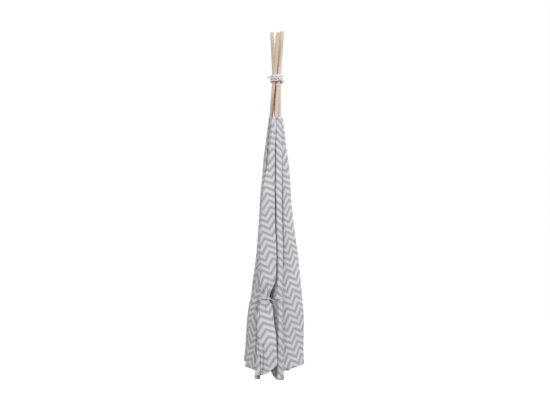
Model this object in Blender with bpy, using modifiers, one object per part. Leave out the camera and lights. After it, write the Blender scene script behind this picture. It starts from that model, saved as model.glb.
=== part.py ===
"""Kids teepee, folded up and standing on its pole feet.

Four wooden poles cross inside a lashing near the top. A chevron cotton cover hangs on them: a sleeve on
each pole, three pleated walls between the sleeves, and two door flaps tied back low on the front poles.
Metres, +Z up, +X to the right of the door, the door faces -Y, the floor is Z = 0.
"""
import bmesh
import bpy
import numpy as np
from math import ceil, cos, pi, radians, sin, sqrt
from mathutils import Matrix, Vector

PART_NAME = "kids_teepee"

# Driving dimensions of the frame
POLE_LENGTH = 1.800
POLE_RADIUS = 0.010
POLE_ROUNDING = 0.0015
TIP_REACH = 0.254
CROSSING_HEIGHT = POLE_LENGTH - TIP_REACH
CROSSING_CLEARANCE = 0.00202
STANCE_WIDTH = 0.216
STANCE_DEPTH = 0.360
AXIS_X = 0.0122
AXIS_Y = -0.0673
TOUCH_GAP = 0.0003

# Driving dimensions of the cover
BASE_SIDE = 1.200
BARE_REACH = 0.196
COVER_TOP = CROSSING_HEIGHT - BARE_REACH
CLOTH = 0.0008
SLEEVE_EASE = 0.0008
SLEEVE_CLOTH = 0.0010
POCKET_RADIUS = 0.0140
POCKET_HEIGHT = 0.022
POCKET_TAPER = 0.014
POCKET_SOLE = 0.0020
HEM_HEIGHT = 0.043

# Folds of the three walls
PLEAT_REACH = 0.080
LEFT_OUT = 0.0480
LEFT_IN = 0.062
BACK_OUT = 0.060
BACK_IN = 0.050
RIGHT_OUT = 0.1050
RIGHT_IN = 0.055

# Folds of the two door flaps
LEFT_FLAP_TURN = 0.040
LEFT_FLAP_DEPTH = 0.075
LEFT_FLAP_HEM = 0.027
LEFT_FLAP_RISE = 0.055
RIGHT_FLAP_TURN = 0.012
RIGHT_FLAP_DEPTH = 0.034
RIGHT_FLAP_INSIDE = 0.036
RIGHT_FLAP_HEM = 0.016
RIGHT_FLAP_RISE = 0.048

# Lashing
LASH_STRIP = 0.0110
LASH_GAP = 0.0006
LASH_BUILD = 0.0042
LASH_EASE = 0.0023
LASH_LIFT = 0.0037
LASH_END_REACH = 0.012
KNOT_RADIUS = 0.0085

# Tie-backs
TIE_HEIGHT = 0.418
RIBBON_WIDTH = 0.008
RIBBON_CLOTH = 0.0008
RIBBON_EASE = 0.0040
TIE_KNOT_RADIUS = 0.0060
TAIL_WIDTH = 0.004
TAIL_LENGTH = 0.052

# Counts
LASH_WRAPS = 3
LOOP_STEPS = 24
ROUND_SIDES = 20
WALL_ROWS = 10
FLAP_STEPS = 2
RIBBON_STEPS = 3
TAIL_STEPS = 6
LASH_END_STEPS = 8
FLAP_ROW = 0.100
FOLD_STEP_SHARES = (0.0, 0.2, 0.5, 0.8)

# Feet on the floor, in shares of the stance, and pole crossings, in shares of the crossing offset
FOOT_SHARES = {
    "front_left": (-0.458, -0.211),
    "back_left": (-0.639, 0.758),
    "back_right": (0.266, 0.508),
    "front_right": (0.113, -0.275),
}
CROSSING_SHARES = {
    "front_left": (1.0, -1.0),
    "back_left": (-1.0, -1.0),
    "back_right": (-1.0, 1.0),
    "front_right": (1.0, 1.0),
}
# Where each pole turns, from its crossing, in shares of the pole's radius
HINGE_SHARES = {
    "back_left": (0.109, -0.147, -1.070),
    "front_left": (-0.165, -2.017, -0.487),
    "back_right": (2.982, 0.825, -0.896),
    "front_right": (0.722, -1.865, -0.198),
}
HINGE_PARENTS = {
    "back_left": None,
    "front_left": "back_left",
    "back_right": "back_left",
    "front_right": "back_right",
}

# Levels down the cover, in shares of the crossing height below the crossing, and what each wall does there
WALL_LEVEL_SHARES = (0.117, 0.20, 0.265, 0.41, 0.563, 0.693, 0.825, 0.948, 1.0)
LEFT_OUT_SHARES = (0.19, 0.37, 0.50, 0.48, 0.32, 0.59, 0.93, 1.0, 1.0)
BACK_OUT_SHARES = (0.16, 0.28, 0.36, 0.50, 0.64, 0.76, 0.88, 0.97, 1.0)
RIGHT_OUT_SHARES = (0.07, 0.21, 0.29, 0.46, 0.71, 0.88, 0.98, 1.0, 1.0)
LEFT_FOLD_SHARES = (1.0, -1.0, 0.95, -0.9, 0.85, -0.95, 0.72)
BACK_FOLD_SHARES = (0.80, -0.8, 0.95, -1.0, 1.0, -0.8, 0.75)
RIGHT_FOLD_SHARES = (0.60, -0.9, 0.70, -1.0, 0.80, -0.9, 1.0)
INWARD_START_SHARE = 0.42
PLEAT_ROOM_SHARE = 0.62

# Levels down the door flaps: 0 at the cover's top, 1 at the tie-back, 2 at the floor
FLAP_LEVEL_SHARES = (0, 0.14, 0.245, 0.33, 0.485, 0.74, 0.91, 0.985, 1.025, 1.085, 1.28, 1.47, 1.71, 2)
# How far each flap turns past its pole, reaches across the door and stands out, at those levels
LEFT_TURN_SHARES = (0.12, 0.18, 0.32, 0.55, 0.95, 1, 0.74, 0.66, 0.66, 0.62, 0.45, 0.36, 0.32, 0.30)
LEFT_EDGE_SHARES = (0.45, 0.39, 0.36, 0.36, 0.55, 0.68, 0.715, 0.34, 0.34, 0.475, 0.56, 0.717, 0.79, 0.826)
LEFT_DEPTH_SHARES = (0.13, 0.17, 0.21, 0.25, 0.35, 0.45, 0.50, 0.48, 0.48, 0.54, 0.66, 0.76, 0.90, 1)
LEFT_INSIDE_SHARES = (0,) * len(FLAP_LEVEL_SHARES)
RIGHT_TURN_SHARES = (0.30, 0.45, 0.60, 0.70, 0.80, 1, 1, 0.90, 0.90, 0.90, 0.90, 0.90, 0.90, 0.90)
RIGHT_EDGE_SHARES = (0.35, 0.48, 0.54, 0.54, 0.38, 0.27, 0.24, 0.316, 0.316, 0.37, 0.39, 0.40, 0.44, 0.46)
RIGHT_DEPTH_SHARES = (0.15, 0.25, 0.35, 0.45, 0.60, 0.80, 0.88, 0.86, 0.86, 0.88, 0.90, 0.94, 0.97, 1)
RIGHT_INSIDE_SHARES = (0, 0, 0, 0, 0.30, 1, 0.90, 0, 0, 0.15, 0.80, 1, 1, 1)
# Each flap's layers from its seam to its edge: along in shares of turn or edge, out in shares of the depth
LEFT_LAYER_SHARES = (
    (0, 0), (-0.55, 0.12), (-0.92, 0.26), (-0.50, 0.40), (0.25, 0.38), (0.62, 0.48), (0.25, 0.60),
    (-0.50, 0.60), (-1, 0.74), (-0.60, 0.93), (0.10, 1), (0.60, 0.98), (1, 0.88)
)
RIGHT_LAYER_SHARES = (
    (0, 0), (-0.55, 0.10), (-1, 0.38), (-0.60, 0.85), (0.10, 1), (0.60, 0.98), (1, 0.72)
)
# The rest of the right flap: tucked behind its front layer, or pleated between the poles
RIGHT_TUCK_SHARES = ((0.84, 0.44), (0.72, 0.42), (0.60, 0.41), (0.48, 0.40), (0.36, 0.40))
RIGHT_PLEAT_SHARES = ((1, 0.30), (0.76, 1), (0.52, 0.12), (0.28, 1), (0.05, 0.10))
HEM_CURVE = 1.5

# A tie-back's ribbon round its gathered flap: along in shares of turn or edge, out in shares of the depth
RIBBON_SEAM_SHARE = 0.7
RIBBON_TURN_SHARES = ((0.62, -0.02), (1.0, 0.08), (1.0, 0.75), (0.55, 1.0))
RIBBON_EDGE_SHARES = ((0.5, 1.0), (1.0, 0.75), (1.0, 0.08), (0.62, -0.02))
# Its two tails: how far along and how far down each hangs, in shares of the tail's length
TAIL_SHARES = {
    "left": (("upper", 0.80, 0.28), ("lower", 0.45, 0.80)),
    "right": (("upper", 0.30, 0.62), ("lower", 0.12, 0.95)),
}
TAIL_SPREAD_SHARE = 0.3
TAIL_DROOP = 1.6

# The wound strip's section, out and up in shares of its build and width, and its knot and ends
LASH_SECTION_SHARES = ((0, -0.42), (0.55, -0.5), (1.0, -0.22), (1.0, 0.22), (0.55, 0.5), (0, 0.42))
KNOT_FORM_SHARES = (1.15, 0.6, 1.0)
LASH_END_START = 20
LASH_ENDS = (("left", -1, 78, 0.25), ("right", 1, 66, -0.45))
MERGE_SHARE = 0.01

FLAP_SIZES = {
    "left": (LEFT_FLAP_TURN, LEFT_FLAP_DEPTH),
    "right": (RIGHT_FLAP_TURN, RIGHT_FLAP_DEPTH),
}
FLAP_TABLES = {
    "left": (LEFT_TURN_SHARES, LEFT_EDGE_SHARES, LEFT_DEPTH_SHARES, LEFT_INSIDE_SHARES),
    "right": (RIGHT_TURN_SHARES, RIGHT_EDGE_SHARES, RIGHT_DEPTH_SHARES, RIGHT_INSIDE_SHARES),
}
FLAP_LAYERS = {
    "left": (LEFT_LAYER_SHARES, (), ()),
    "right": (RIGHT_LAYER_SHARES, RIGHT_TUCK_SHARES, RIGHT_PLEAT_SHARES),
}


def crossing_offset():
    """Distance of each pole's crossing from the lashing's axis, along X and along Y."""
    return POLE_RADIUS + CROSSING_CLEARANCE


def sleeve_radius():
    """Outer radius of a pole sleeve."""
    return POLE_RADIUS + SLEEVE_EASE + SLEEVE_CLOTH


def seam_distance(height):
    """Distance from a pole's axis to the middle of a cloth that lies against its sleeve or pocket."""
    heights = (POCKET_HEIGHT, POCKET_HEIGHT + POCKET_TAPER)
    radius = float(np.interp(height, heights, (POCKET_RADIUS, sleeve_radius())))
    return radius + TOUCH_GAP + CLOTH / 2


def foot_point(key):
    """Where a pole's axis meets the floor."""
    x_share, y_share = FOOT_SHARES[key]
    return Vector((AXIS_X + STANCE_WIDTH * x_share, AXIS_Y + STANCE_DEPTH * y_share, 0))


def crossing_point(key):
    """Where a pole's axis passes the middle of the lashing."""
    x_share, y_share = CROSSING_SHARES[key]
    offset = crossing_offset()
    return Vector((AXIS_X + offset * x_share, AXIS_Y + offset * y_share, CROSSING_HEIGHT))


def pole_at(key, height):
    """A pole's axis at a height, in plan."""
    return foot_point(key).lerp(crossing_point(key), height / CROSSING_HEIGHT).to_2d()


def hinge_point(key):
    """The point in the lashing that a pole turns about."""
    return crossing_point(key) + POLE_RADIUS * Vector(HINGE_SHARES[key])


def drop_share(height):
    """How far down from the crossing a height lies, as a share of the crossing's height."""
    return 1 - height / CROSSING_HEIGHT


def level(table, levels, height):
    """A share read from a table of levels at a height."""
    return float(np.interp(drop_share(height), levels, table))


def span(start_key, end_key, height):
    """Start, direction, outward normal and length of the line between two poles, walking clockwise."""
    start = pole_at(start_key, height)
    end = pole_at(end_key, height)
    along = (end - start).normalized()
    outward = Vector((-along.y, along.x))
    return start, along, outward, (end - start).length


def rounded(points, position):
    """A point on the smooth curve through points, at a position counted in points."""
    index = min(int(position), len(points) - 2)
    t = position - index
    before = points[max(index - 1, 0)]
    a = points[index]
    b = points[index + 1]
    after = points[min(index + 2, len(points) - 1)]
    slope_a = (b - before) / 2
    slope_b = (after - a) / 2
    return (
        a * (2 * t**3 - 3 * t**2 + 1)
        + slope_a * (t**3 - 2 * t**2 + t)
        + b * (3 * t**2 - 2 * t**3)
        + slope_b * (t**3 - t**2)
    )


def material(name, colour, roughness, metallic=0.0):
    """A plain Principled material."""
    made = bpy.data.materials.new(name)
    made.use_nodes = True
    shader = made.node_tree.nodes["Principled BSDF"]
    shader.inputs["Base Color"].default_value = (*colour, 1)
    shader.inputs["Roughness"].default_value = roughness
    shader.inputs["Metallic"].default_value = metallic
    return made


def add_object(name, mesh, surface, collection, carrier=None, smooth=True):
    """Link a mesh as one named object, carried by a hinge empty if one is given."""
    made = bpy.data.objects.new(name, mesh)
    mesh.materials.append(surface)
    collection.objects.link(made)
    if smooth:
        mesh.shade_smooth()
        mesh.set_sharp_from_angle(angle=radians(35))
    if carrier is not None:
        made.parent = carrier
        made.matrix_parent_inverse = carrier.matrix_world.inverted()
    return made


def mesh_from(builder, name):
    """Turn a bmesh into a mesh with its faces pointing the same way."""
    bmesh.ops.recalc_face_normals(builder, faces=builder.faces)
    mesh = bpy.data.meshes.new(name)
    builder.to_mesh(mesh)
    builder.free()
    return mesh


def revolved(profile, sides):
    """A closed body turned about Z from a profile of (radius, height) that starts and ends on the axis."""
    builder = bmesh.new()
    verts = [builder.verts.new((radius, 0, height)) for radius, height in profile]
    for a, b in zip(verts, verts[1:]):
        builder.edges.new((a, b))
    bmesh.ops.spin(
        builder,
        geom=list(builder.verts) + list(builder.edges),
        cent=(0, 0, 0),
        axis=(0, 0, 1),
        angle=2 * pi,
        steps=sides,
        use_merge=True,
    )
    bmesh.ops.remove_doubles(builder, verts=builder.verts, dist=TOUCH_GAP * MERGE_SHARE)
    return builder


def grid_surface(columns, rows, point):
    """An open surface of columns by rows, from a function that gives each point."""
    builder = bmesh.new()
    net = [[builder.verts.new(point(column, row)) for column in range(columns)] for row in range(rows)]
    for upper, lower in zip(net, net[1:]):
        for column in range(columns - 1):
            builder.faces.new((upper[column], lower[column], lower[column + 1], upper[column + 1]))
    return builder


def thicken(made, thickness):
    """Give an open surface its cloth thickness, half to each side."""
    solidify = made.modifiers.new("cloth", "SOLIDIFY")
    solidify.thickness = thickness
    solidify.offset = 0
    return made


def make_hinges(collection):
    """One empty for each pole, in the lashing, each carried by the pole that it turns on."""
    hinges = {}
    for key, parent in HINGE_PARENTS.items():
        hinge = bpy.data.objects.new("hinge_" + key, None)
        hinge.empty_display_size = POLE_RADIUS
        collection.objects.link(hinge)
        hinge.location = hinge_point(key)
        if parent is not None:
            hinge.parent = hinges[parent]
            hinge.matrix_parent_inverse = hinges[parent].matrix_world.inverted()
        bpy.context.view_layer.update()
        hinges[key] = hinge
    return hinges


def make_pole(key, hinge, wood, collection):
    """A round pole that stands in its pocket and leans through its crossing."""
    foot = foot_point(key)
    lean = (crossing_point(key) - foot).normalized()
    rest_height = POCKET_SOLE + TOUCH_GAP + POLE_RADIUS * sqrt(1 - lean.z**2)
    start = foot + lean * (rest_height / lean.z)
    builder = bmesh.new()
    bmesh.ops.create_cone(
        builder,
        cap_ends=True,
        segments=ROUND_SIDES,
        radius1=POLE_RADIUS,
        radius2=POLE_RADIUS,
        depth=POLE_LENGTH,
    )
    rims = [edge for edge in builder.edges if abs(edge.verts[0].co.z - edge.verts[1].co.z) < POLE_RADIUS]
    bmesh.ops.bevel(builder, geom=rims, offset=POLE_ROUNDING, segments=2, profile=0.5, affect="EDGES")
    turn = Vector((0, 0, 1)).rotation_difference(lean).to_matrix().to_4x4()
    place = Matrix.Translation(start + lean * POLE_LENGTH / 2) @ turn
    bmesh.ops.transform(builder, matrix=Matrix.Translation(-hinge_point(key)) @ place, verts=builder.verts)
    made = add_object("pole_" + key, mesh_from(builder, "pole_" + key), wood, collection)
    made.parent = hinge
    return made


def make_sleeve(key, hinge, cotton, collection):
    """The cover's channel round a pole, closed at the foot by a wider pocket with a flat sole."""
    inner = POLE_RADIUS + SLEEVE_EASE
    outer = sleeve_radius()
    profile = [
        (0, 0),
        (POCKET_RADIUS, 0),
        (POCKET_RADIUS, POCKET_HEIGHT),
        (outer, POCKET_HEIGHT + POCKET_TAPER),
        (outer, COVER_TOP),
        (inner, COVER_TOP),
        (inner, POCKET_SOLE),
        (0, POCKET_SOLE),
    ]
    builder = revolved(profile, ROUND_SIDES)
    foot = foot_point(key)
    drift = (crossing_point(key) - foot) / CROSSING_HEIGHT
    shear = Matrix(((1, 0, drift.x, foot.x), (0, 1, drift.y, foot.y), (0, 0, 1, 0), (0, 0, 0, 1)))
    bmesh.ops.transform(builder, matrix=shear, verts=builder.verts)
    return add_object("sleeve_" + key, mesh_from(builder, "sleeve_" + key), cotton, collection, hinge)


def wall_section(start_key, end_key, folds, out_depth, out_table, in_depth, height):
    """A wall's fold line at a height, in plan, from one pole's seam to the next pole's seam."""
    start, along, outward, length = span(start_key, end_key, height)
    seam = seam_distance(height)
    reach = min(PLEAT_REACH, PLEAT_ROOM_SHARE * length / 2)
    inward_share = max(0, drop_share(height) - INWARD_START_SHARE) / (1 - INWARD_START_SHARE)
    inward = (seam + in_depth) * inward_share
    out = out_depth * level(out_table, WALL_LEVEL_SHARES, height)
    points = [start + outward * seam]
    for index, fold in enumerate(folds):
        place = length / 2 + reach * (2 * index / (len(folds) - 1) - 1)
        depth = seam + fold * (out if fold > 0 else inward)
        points.append(start + along * place + outward * depth)
    points.append(start + along * length + outward * seam)
    return points


def fold_position(column):
    """Where a wall's column lies, counted in folds: close together at the tips, far apart on the flats."""
    steps = len(FOLD_STEP_SHARES)
    return column // steps + FOLD_STEP_SHARES[column % steps]


def arc_runs(points):
    """How far along a fold line each of its points lies."""
    steps = [(b - a).length for a, b in zip(points, points[1:])]
    return np.concatenate(([0], np.cumsum(steps)))


def gore_rise():
    """How much higher a straight hem hangs at the middle of a wall than at its poles."""
    return CROSSING_HEIGHT - sqrt(CROSSING_HEIGHT**2 - (BASE_SIDE / 2) ** 2)


def make_wall(name, sizes, hinge, cotton, collection):
    """A wall of the cover, pleated between two sleeves, with the hem that its flat triangle gives."""
    folds = sizes[2]
    columns = (len(folds) + 1) * len(FOLD_STEP_SHARES) + 1
    floor_line = wall_section(*sizes, HEM_HEIGHT)
    runs = arc_runs([rounded(floor_line, fold_position(column)) for column in range(columns)])

    def point(column, row):
        nearest = min(runs[column], runs[-1] - runs[column])
        hem = HEM_HEIGHT + gore_rise() * (1 - (1 - 2 * nearest / BASE_SIDE) ** 2)
        height = COVER_TOP + (hem - COVER_TOP) * row / (WALL_ROWS - 1)
        plan = rounded(wall_section(*sizes, height), fold_position(column))
        return (plan.x, plan.y, height)

    builder = grid_surface(columns, WALL_ROWS, point)
    made = add_object(name, mesh_from(builder, name), cotton, collection, hinge)
    return thicken(made, CLOTH)


def flap_frame(side, height):
    """Start, direction and outward normal for a door flap, from its own pole towards the other front pole."""
    other = "right" if side == "left" else "left"
    start = pole_at("front_" + side, height)
    end = pole_at("front_" + other, height)
    along = (end - start).normalized()
    turn = 1 if side == "right" else -1
    outward = Vector((-along.y, along.x)) * turn
    return start, along, outward, (end - start).length


def door_place(side, along_offset, out_offset, height):
    """A point beside a front pole, measured along the door and out from the line between its poles."""
    start, along, outward, _ = flap_frame(side, height)
    plan = start + along * along_offset + outward * out_offset
    return Vector((plan.x, plan.y, height))


def flap_level(height):
    """A height as a level of the door flaps' tables."""
    return float(np.interp(height, (0, TIE_HEIGHT, COVER_TOP), (2, 1, 0)))


def flap_reach(side, height):
    """How far a flap turns past its pole, reaches across, stands out and is pleated inside."""
    length = flap_frame(side, height)[3]
    at = flap_level(height)
    shares = [float(np.interp(at, FLAP_LEVEL_SHARES, table)) for table in FLAP_TABLES[side]]
    turn, edge, depth, inside = shares
    turn_size, depth_size = FLAP_SIZES[side]
    return turn * turn_size, edge * length, depth * depth_size, inside


def flap_section(side, height):
    """A door flap's fold line at a height, as places along the door and out from it."""
    turn, edge, depth, inside = flap_reach(side, height)
    seam = seam_distance(height)
    room = flap_frame(side, height)[3] - edge - seam - POLE_RADIUS / 2
    layers, tucks, pleats = FLAP_LAYERS[side]
    points = [Vector((along * (edge if along > 0 else turn), seam + depth * out)) for along, out in layers]
    for (tuck_along, tuck_out), (pleat_along, pleat_in) in zip(tucks, pleats):
        tucked = Vector((edge * tuck_along, seam + depth * tuck_out))
        pleated = Vector((edge + room * pleat_along, -RIGHT_FLAP_INSIDE * pleat_in))
        points.append(tucked.lerp(pleated, inside))
    return points


def flap_heights():
    """Heights of a door flap's rows, from the cover's top to the floor, close together at the tie-back."""
    levels = [float(np.interp(share, (0, 1, 2), (COVER_TOP, TIE_HEIGHT, 0))) for share in FLAP_LEVEL_SHARES]
    heights = levels[:1]
    for upper, lower in zip(levels, levels[1:]):
        steps = ceil((upper - lower) / FLAP_ROW)
        heights += [upper + (lower - upper) * (step + 1) / steps for step in range(steps)]
    return heights


def make_flap(side, hem, rise, hinge, cotton, collection):
    """A door flap, sewn along its pole's sleeve, folded in layers and gathered at the tie-back."""
    columns = (len(flap_section(side, hem)) - 1) * FLAP_STEPS + 1
    low_edge = flap_reach(side, hem)[1]
    low_line = [rounded(flap_section(side, hem), column / FLAP_STEPS) for column in range(columns)]
    corners = [hem + rise * min(max(spot.x / low_edge, 0), 1) ** HEM_CURVE for spot in low_line]
    heights = flap_heights()
    gathered = TIE_HEIGHT - RIBBON_WIDTH

    def point(column, row):
        height = heights[row]
        if height < gathered:
            height = corners[column] + (gathered - corners[column]) * height / gathered
        spot = rounded(flap_section(side, height), column / FLAP_STEPS)
        return door_place(side, spot.x, spot.y, height)

    name = "door_flap_" + side
    builder = grid_surface(columns, len(heights), point)
    made = add_object(name, mesh_from(builder, name), cotton, collection, hinge)
    return thicken(made, CLOTH)


def strip_surface(path, width):
    """An open upright strip of a width along a path of points."""
    rise = Vector((0, 0, width / 2))
    return grid_surface(len(path), 2, lambda column, row: path[column] + (rise if row == 0 else -rise))


def smooth_path(points, steps):
    """Points on the smooth curve through points, with a number of steps between each two."""
    return [rounded(points, index / steps) for index in range((len(points) - 1) * steps + 1)]


def make_tie(side, hinge, ribbon, collection):
    """A tie-back: a ribbon from the seam round the gathered flap, its knot in front and two tails."""
    turn, edge, depth = [reach + RIBBON_EASE for reach in flap_reach(side, TIE_HEIGHT)[:3]]
    base = seam_distance(TIE_HEIGHT) - RIBBON_CLOTH
    seam_along = POLE_RADIUS * RIBBON_SEAM_SHARE
    seam_out = sqrt(base**2 - seam_along**2) + RIBBON_CLOTH
    places = [(-seam_along, seam_out)]
    places += [(-turn * along, base + depth * out) for along, out in RIBBON_TURN_SHARES]
    places += [(edge * along, base + depth * out) for along, out in RIBBON_EDGE_SHARES]
    places += [(seam_along, seam_out)]
    points = [door_place(side, along, out, TIE_HEIGHT) for along, out in places]
    name = "tie_ribbon_" + side
    builder = strip_surface(smooth_path(points, RIBBON_STEPS), RIBBON_WIDTH)
    thicken(add_object(name, mesh_from(builder, name), ribbon, collection, hinge), RIBBON_CLOTH)

    knot_along = edge / 2
    knot_out = base + depth + TIE_KNOT_RADIUS + RIBBON_CLOTH + TOUCH_GAP
    knot_place = door_place(side, knot_along, knot_out, TIE_HEIGHT)
    builder = bmesh.new()
    bmesh.ops.create_uvsphere(builder, u_segments=16, v_segments=10, radius=TIE_KNOT_RADIUS)
    bmesh.ops.transform(builder, matrix=Matrix.Translation(knot_place), verts=builder.verts)
    name = "tie_knot_" + side
    add_object(name, mesh_from(builder, name), ribbon, collection, hinge)

    for sign, (tail, reach_share, fall_share) in zip((-1, 1), TAIL_SHARES[side]):
        beside = TIE_KNOT_RADIUS * TAIL_SPREAD_SHARE * sign
        clear = sqrt(TIE_KNOT_RADIUS**2 - beside**2) + RIBBON_CLOTH / 2 + TOUCH_GAP
        path = []
        for step in range(TAIL_STEPS + 1):
            t = step / TAIL_STEPS
            along = knot_along + clear + TAIL_LENGTH * reach_share * t
            fall = TAIL_LENGTH * fall_share * t**TAIL_DROOP
            path.append(door_place(side, along, knot_out + beside, TIE_HEIGHT) - Vector((0, 0, fall)))
        name = "tie_tail_" + side + "_" + tail
        builder = strip_surface(path, TAIL_WIDTH)
        thicken(add_object(name, mesh_from(builder, name), ribbon, collection, hinge), RIBBON_CLOTH)


def winding_gap(section, pitch):
    """The least distance between points of the wound strip that lie half a turn or more apart."""
    rings = []
    for step in range(LOOP_STEPS * LASH_WRAPS + 1):
        turn = Matrix.Rotation(2 * pi * step / LOOP_STEPS, 3, "Z")
        rings.append([turn @ Vector(point) + Vector((0, 0, pitch * step / LOOP_STEPS)) for point in section])
    rings = np.array(rings)
    least = np.inf
    for step, ring in enumerate(rings[:-LOOP_STEPS // 2]):
        others = rings[step + LOOP_STEPS // 2:].reshape(-1, 3)
        least = min(least, np.linalg.norm(others[:, None] - ring[None], axis=2).min())
    return least


def make_lashing(strap, collection):
    """The cloth strip wound round the crossing in rising turns, its knot at the front and two short ends."""
    inner = crossing_offset() * sqrt(2) + POLE_RADIUS + LASH_EASE
    outer = inner + LASH_BUILD
    pitch = LASH_STRIP + LASH_GAP
    axis = Vector((AXIS_X, AXIS_Y, CROSSING_HEIGHT + LASH_LIFT))
    low = -pitch * LASH_WRAPS / 2
    section = [(0, inner + LASH_BUILD * out, low + LASH_STRIP * up) for out, up in LASH_SECTION_SHARES]
    builder = bmesh.new()
    face = builder.faces.new([builder.verts.new(point) for point in section])
    bmesh.ops.spin(
        builder,
        geom=[face] + list(face.edges) + list(face.verts),
        cent=(0, 0, 0),
        axis=(0, 0, 1),
        dvec=(0, 0, pitch / LOOP_STEPS),
        angle=2 * pi * LASH_WRAPS,
        steps=LOOP_STEPS * LASH_WRAPS,
    )
    bmesh.ops.translate(builder, vec=axis, verts=builder.verts)
    add_object("lash_wrap", mesh_from(builder, "lash_wrap"), strap, collection)
    print("least gap between the lashing's turns, in metres:", round(winding_gap(section, pitch), 5))

    knot_out = outer + KNOT_RADIUS * KNOT_FORM_SHARES[1] + TOUCH_GAP
    builder = bmesh.new()
    bmesh.ops.create_uvsphere(builder, u_segments=16, v_segments=10, radius=KNOT_RADIUS)
    squeeze = Matrix.Diagonal((*KNOT_FORM_SHARES, 1))
    place = Matrix.Translation(axis + Vector((0, -knot_out, 0)))
    bmesh.ops.transform(builder, matrix=place @ squeeze, verts=builder.verts)
    add_object("lash_knot", mesh_from(builder, "lash_knot"), strap, collection)

    for side, sign, sweep, slope_share in LASH_ENDS:
        path = []
        for step in range(LASH_END_STEPS + 1):
            t = step / LASH_END_STEPS
            angle = radians(LASH_END_START + (sweep - LASH_END_START) * t)
            radius = outer + CLOTH + TOUCH_GAP + LASH_END_REACH * t**2
            rise = slope_share * pitch * LASH_WRAPS * t
            path.append(axis + Vector((sign * radius * sin(angle), -radius * cos(angle), rise)))
        name = "lash_end_" + side
        builder = strip_surface(path, LASH_STRIP)
        thicken(add_object(name, mesh_from(builder, name), strap, collection), CLOTH)


def main():
    for old in list(bpy.data.objects):
        bpy.data.objects.remove(old)
    parts = bpy.data.collections.new(PART_NAME)
    bpy.context.scene.collection.children.link(parts)
    wood = material("pine", (0.69, 0.55, 0.43), 0.55)
    cotton = material("chevron_cotton", (0.52, 0.52, 0.55), 0.9)
    strap = material("lash_cotton", (0.64, 0.64, 0.68), 0.9)
    ribbon = material("tie_ribbon", (0.72, 0.72, 0.74), 0.7)
    hinges = make_hinges(parts)
    for key in FOOT_SHARES:
        make_pole(key, hinges[key], wood, parts)
        make_sleeve(key, hinges[key], cotton, parts)

    left_wall = ("front_left", "back_left", LEFT_FOLD_SHARES, LEFT_OUT, LEFT_OUT_SHARES, LEFT_IN)
    back_wall = ("back_left", "back_right", BACK_FOLD_SHARES, BACK_OUT, BACK_OUT_SHARES, BACK_IN)
    right_wall = ("back_right", "front_right", RIGHT_FOLD_SHARES, RIGHT_OUT, RIGHT_OUT_SHARES, RIGHT_IN)
    make_wall("wall_left", left_wall, hinges["back_left"], cotton, parts)
    make_wall("wall_back", back_wall, hinges["back_left"], cotton, parts)
    make_wall("wall_right", right_wall, hinges["back_right"], cotton, parts)

    make_flap("left", LEFT_FLAP_HEM, LEFT_FLAP_RISE, hinges["front_left"], cotton, parts)
    make_flap("right", RIGHT_FLAP_HEM, RIGHT_FLAP_RISE, hinges["front_right"], cotton, parts)
    make_tie("left", hinges["front_left"], ribbon, parts)
    make_tie("right", hinges["front_right"], ribbon, parts)
    make_lashing(strap, parts)


main()
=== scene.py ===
"""A children's play teepee, folded up and standing on its four pole feet.

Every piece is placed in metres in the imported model's frame. The floor is z = 0, and the door
faces -y.
"""
from math import asin, cos, pi, radians, sin, sqrt

import bmesh
import bpy
import numpy as np
from mathutils import Matrix, Vector, noise


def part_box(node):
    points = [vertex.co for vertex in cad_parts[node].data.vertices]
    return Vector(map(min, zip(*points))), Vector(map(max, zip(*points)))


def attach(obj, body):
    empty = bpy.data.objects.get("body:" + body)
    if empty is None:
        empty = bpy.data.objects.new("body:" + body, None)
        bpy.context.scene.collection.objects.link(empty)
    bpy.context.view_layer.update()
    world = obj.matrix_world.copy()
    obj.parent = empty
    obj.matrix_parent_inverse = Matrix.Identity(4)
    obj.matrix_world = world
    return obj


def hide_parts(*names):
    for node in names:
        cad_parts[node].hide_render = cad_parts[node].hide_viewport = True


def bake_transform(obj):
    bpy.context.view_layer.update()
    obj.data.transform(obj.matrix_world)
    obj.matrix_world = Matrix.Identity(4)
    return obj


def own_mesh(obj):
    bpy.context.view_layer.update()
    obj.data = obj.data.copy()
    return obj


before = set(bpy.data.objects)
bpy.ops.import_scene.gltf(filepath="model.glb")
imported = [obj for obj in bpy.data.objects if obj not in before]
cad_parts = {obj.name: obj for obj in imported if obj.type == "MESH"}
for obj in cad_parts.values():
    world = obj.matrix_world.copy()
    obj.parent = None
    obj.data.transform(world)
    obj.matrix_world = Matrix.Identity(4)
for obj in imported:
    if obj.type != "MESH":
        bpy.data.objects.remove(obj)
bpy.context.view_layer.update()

# The room: a plain pale floor that runs into white, large soft lamps in front on both sides and one
# behind, and the camera level with the middle of the teepee.
EYE_PLACE = (0.0044, -5.0753, 0.8875)
EYE_LENS = 62.85
EYE_SENSOR = 36
LAMP_AIM = Vector((0, 0, 0.8))
WHITE = (1, 1, 1, 1)
FLOOR_REACH = 30.0
FLOOR_GREY = (0.30, 0.30, 0.30, 1)
FLOOR_GLOW = 1.24
FLOOR_GLOW_SHARE = 0.78
SURROUND_LIGHT = 0.64
LAMPS = (
    ("lamp_left", (-2.0, -3.0, 3.3), 2.0, 48),
    ("lamp_right", (2.8, -2.6, 3.2), 2.2, 78),
    ("lamp_behind", (0.6, 3.4, 3.4), 2.6, 40),
)


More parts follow.
